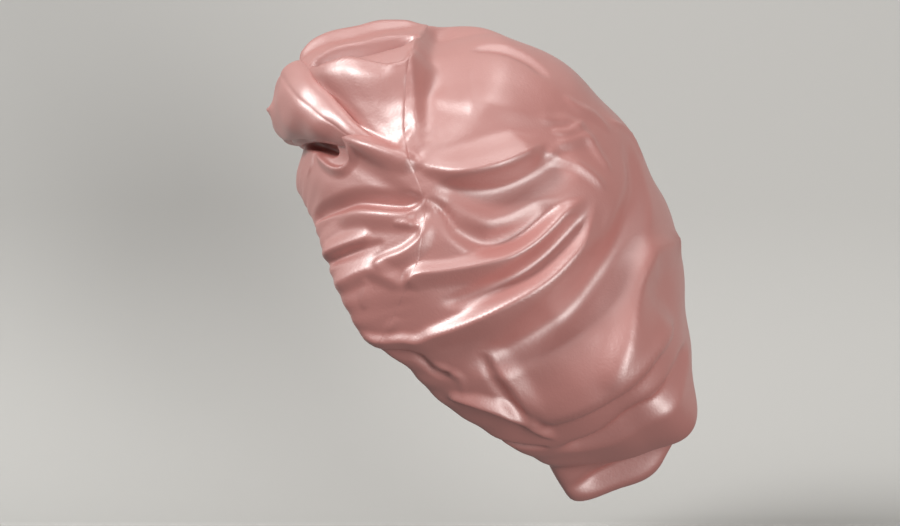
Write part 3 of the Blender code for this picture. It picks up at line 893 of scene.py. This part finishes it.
def knot_rings():
    """Middle, half height and half depth of the knot's bunch from its far tail to its near one."""
    rows = np.array(KNOT_PATH, float)
    out = rows[:, 2] / MILLIMETRES
    flat = out_of_photo(rows[:, :2], out)
    near = np.column_stack([out, flat[:, 0], -flat[:, 1]])
    sizes = rows[:, 3:] / MILLIMETRES
    far = near[:0:-1] * np.array([-1.0, 1.0, 1.0])
    far[:, 2] += FAR_TAIL_RISE * (np.arange(len(far))[::-1] / len(far)) ** 2
    points = np.vstack([far, near])
    sizes = np.vstack([sizes[:0:-1], sizes])
    keys = np.arange(len(points))
    at = np.linspace(0, len(points) - 1, KNOT_ALONG + 1)
    return curve_through(keys, points, at), curve_through(keys, sizes, at), at - at.mean()


def make_centre_knot(material):
    """The twisted bunch of cloth at the brow: a tube that swells on each side of its pinch."""
    piece, flat = grid_object("satin_knot", KNOT_ALONG, KNOT_AROUND)
    ring = np.rint((flat[:, 0] + 1) / 2 * KNOT_ALONG).astype(int)
    around = flat[:, 1] * 180
    line, sizes, along = knot_rings()
    tangent = unit(np.gradient(line, axis=0))
    ahead = unit(line * np.array(KNOT_FACING) + np.array(KNOT_FACING_MOVE))
    ahead = unit(ahead - tangent * (ahead * tangent).sum(axis=1)[:, None])
    upwards = np.cross(ahead, tangent)
    grooves = np.ones(len(flat))
    for place, drift, depth, width in KNOT_PLEATS:
        centre = place + drift * np.abs(along[ring]) / 2
        gap = np.abs((around - centre + 180) % ROUND - 180)
        fade = ease((KNOT_PLEATS_END - np.abs(along[ring])) / KNOT_PLEATS_FADE)
        grooves -= depth * fade * np.exp(-((gap / width) ** KNOT_PLEAT_POWER))
    deep = np.cos(np.radians(around)) * sizes[ring, 1] * grooves
    tall = np.sin(np.radians(around)) * sizes[ring, 0] * grooves
    from_end = KNOT_ALONG / 2 - np.abs(ring - KNOT_ALONG / 2)
    closing = np.sqrt(ease(from_end / KNOT_CLOSING_RINGS))[:, None]
    spread = ahead[ring] * deep[:, None] + upwards[ring] * tall[:, None]
    points = line[ring] + spread * closing
    depth, scale, seed = KNOT_UNEVEN
    points += ahead[ring] * (depth * rough(points, scale, seed))[:, None]
    out_gap = (line[ring, 0] - KNOT_TIP_OUT) / KNOT_TIP_WIDTH
    round_gap = np.radians(around - KNOT_TIP_ROUND) * sizes[ring].mean(axis=1) / KNOT_TIP_WIDTH
    tip = KNOT_TIP_UP * np.exp(-np.hypot(out_gap, KNOT_TIP_NARROWING * round_gap))
    points += ahead[ring] * tip[:, None]
    set_points(piece, points + BAG_CENTRE)
    bpy.ops.object.mode_set(mode="EDIT")
    bpy.ops.mesh.select_all(action="SELECT")
    bpy.ops.mesh.remove_doubles(threshold=KNOT_MERGE)
    bpy.ops.mesh.normals_make_consistent(inside=False)
    bpy.ops.object.mode_set(mode="OBJECT")
    bpy.ops.object.shade_smooth()
    piece.data.materials.append(material)
    return piece


class Link:
    """A socket of a material's node tree, with maths that adds its nodes."""

    def __init__(self, tree, socket):
        self.tree = tree
        self.socket = socket

    def maths(self, operation, *others):
        return self.tree.node("ShaderNodeMath", {"operation": operation}, self, *others)

    def __add__(self, other):
        return self.maths("ADD", other)

    __radd__ = __add__

    def __mul__(self, other):
        return self.maths("MULTIPLY", other)

    __rmul__ = __mul__


class Tree:
    """A material's node tree."""

    def __init__(self, name):
        self.material = bpy.data.materials.new(name)
        self.material.use_nodes = True
        self.nodes = self.material.node_tree.nodes
        self.links = self.material.node_tree.links
        self.shader = self.nodes["Principled BSDF"]

    def put(self, socket, value):
        if isinstance(value, Link):
            self.links.new(value.socket, socket)
        else:
            socket.default_value = value

    def node(self, kind, settings=None, *values, output=0, numbered=None, **named):
        """A new node, with its settings and the values or links of its inputs."""
        made = self.nodes.new(kind)
        for name, value in (settings or {}).items():
            setattr(made, name, value)
        for index, value in enumerate(values):
            self.put(made.inputs[index], value)
        for index, value in (numbered or {}).items():
            self.put(made.inputs[index], value)
        for name, value in named.items():
            self.put(made.inputs[name.replace("_", " ")], value)
        return Link(self, made.outputs[output])

    def shade(self, **values):
        for name, value in values.items():
            self.put(self.shader.inputs[name.replace("_", " ")], value)


def satin(name):
    """Woven satin: a broad sheen, broken up by its threads, small creases and crumples."""
    tree = Tree(name)
    place = tree.node("ShaderNodeTexCoord", output=OBJECT_PLACE)
    drift = tree.node("ShaderNodeTexNoise", Vector=place, **SATIN_DRIFT)
    colour = tree.node(
        "ShaderNodeMix",
        {"data_type": "RGBA"},
        numbered={MIX_FACTOR: drift, MIX_FIRST: SATIN_LIGHT, MIX_SECOND: SATIN_DEEP},
        output=MIX_COLOUR,
    )
    threads = tree.node("ShaderNodeTexNoise", Vector=place, **SATIN_THREADS)
    crumple = tree.node("ShaderNodeTexNoise", Vector=place, **SATIN_CRUMPLE)
    creases = tree.node("ShaderNodeTexNoise", Vector=place, **SATIN_CREASES)
    height = threads * THREADS_SHARE + crumple + creases * CREASES_SHARE
    bump = tree.node("ShaderNodeBump", Height=height, **BUMP)
    tree.shade(
        Base_Color=colour,
        Roughness=threads * THREADS_ROUGHNESS + ROUGHNESS,
        Normal=bump,
        IOR=2.15,
        Specular_IOR_Level=1.0,
        Coat_Weight=0.15,
        Coat_Roughness=0.25,
    )
    return tree.material


def make_backdrop():
    """A pale sweep: floor, curve and wall in one sheet, seen from the front only."""
    bpy.ops.object.select_all(action="DESELECT")
    bpy.ops.mesh.primitive_plane_add(size=1, location=(0, 0, 0))
    piece = bpy.context.object
    piece.name = "floor"
    for vert in piece.data.vertices:
        across = WALL_PLACE if vert.co.x < 0 else FLOOR_FRONT
        vert.co = (across, math.copysign(BACKDROP_HALF_WIDTH, vert.co.y), FLOOR_UP)
    bpy.ops.object.mode_set(mode="EDIT")
    bpy.ops.mesh.select_mode(type="EDGE")
    bpy.ops.mesh.select_all(action="DESELECT")
    bpy.ops.object.mode_set(mode="OBJECT")
    for edge in piece.data.edges:
        ends = [piece.data.vertices[index].co.x for index in edge.vertices]
        edge.select = max(ends) < (WALL_PLACE + FLOOR_FRONT) / 2
    bpy.ops.object.mode_set(mode="EDIT")
    bpy.ops.mesh.extrude_edges_move(TRANSFORM_OT_translate={"value": (0, 0, WALL_HEIGHT)})
    bpy.ops.object.mode_set(mode="OBJECT")
    curve = piece.modifiers.new("sweep", "BEVEL")
    curve.width = SWEEP
    curve.segments = SWEEP_STEPS
    curve.limit_method = "ANGLE"
    bpy.ops.object.modifier_apply(modifier=curve.name)
    bpy.ops.object.shade_smooth()
    tree = Tree("backdrop")
    tree.shade(Base_Color=BACKDROP_COLOUR, Roughness=BACKDROP_ROUGHNESS)
    facing = tree.node("ShaderNodeNewGeometry", output=BACK_SIDE)
    clear = tree.node("ShaderNodeBsdfTransparent")
    output = tree.nodes["Material Output"]
    shaded = Link(tree, tree.shader.outputs[0])
    mixed = tree.node("ShaderNodeMixShader", None, facing, shaded, clear)
    tree.links.new(mixed.socket, output.inputs[0])
    piece.data.materials.append(tree.material)
    return piece


def point_at(thing, target):
    """Turns a camera or light to face a place."""
    thing.rotation_euler = (Vector(target) - thing.location).to_track_quat("-Z", "Y").to_euler()


def make_light(name, location, size, energy, colour, target):
    """A round area light."""
    bpy.ops.object.light_add(type="AREA", location=location)
    light = bpy.context.object
    light.name = name
    light.data.shape = "DISK"
    light.data.size = size
    light.data.energy = energy
    light.data.color = colour
    point_at(light, target)


satin_cloth = satin("satin")
crown = make_crown_bag(satin_cloth)
band = make_front_band(satin_cloth)
knot = make_centre_knot(satin_cloth)

for piece, node in ((crown, "crown_bag"), (band, "front_band"), (knot, "centre_knot")):
    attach(piece, "root")
    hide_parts(node)

backdrop = make_backdrop()

camera_data = bpy.data.cameras.new("camera")
camera = bpy.data.objects.new("camera", camera_data)
bpy.context.scene.collection.objects.link(camera)
camera_data.sensor_width = SENSOR
camera_data.lens = SENSOR * CAMERA_DISTANCE / (PHOTO_WIDTH * PIXEL)
middle_back = (PHOTO_WIDTH / 2 - BAG_MIDDLE_PX[0]) * PIXEL
middle_up = (BAG_MIDDLE_PX[1] - PHOTO_HEIGHT / 2) * PIXEL
camera.location = Vector(BAG_CENTRE) + Vector((CAMERA_DISTANCE, middle_back, middle_up))
point_at(camera, camera.location - Vector((1, 0, 0)))
bpy.context.scene.camera = camera

for name, location, size, watts, colour in LIGHTS:
    make_light(name, location, size, watts, colour, Vector(BAG_CENTRE))
bpy.context.scene.view_settings.view_transform = "Standard"
world = bpy.data.worlds.new("room")
bpy.context.scene.world = world
world.use_nodes = True
world.node_tree.nodes["Background"].inputs[0].default_value = WORLD_COLOUR
world.node_tree.nodes["Background"].inputs[1].default_value = WORLD_STRENGTH
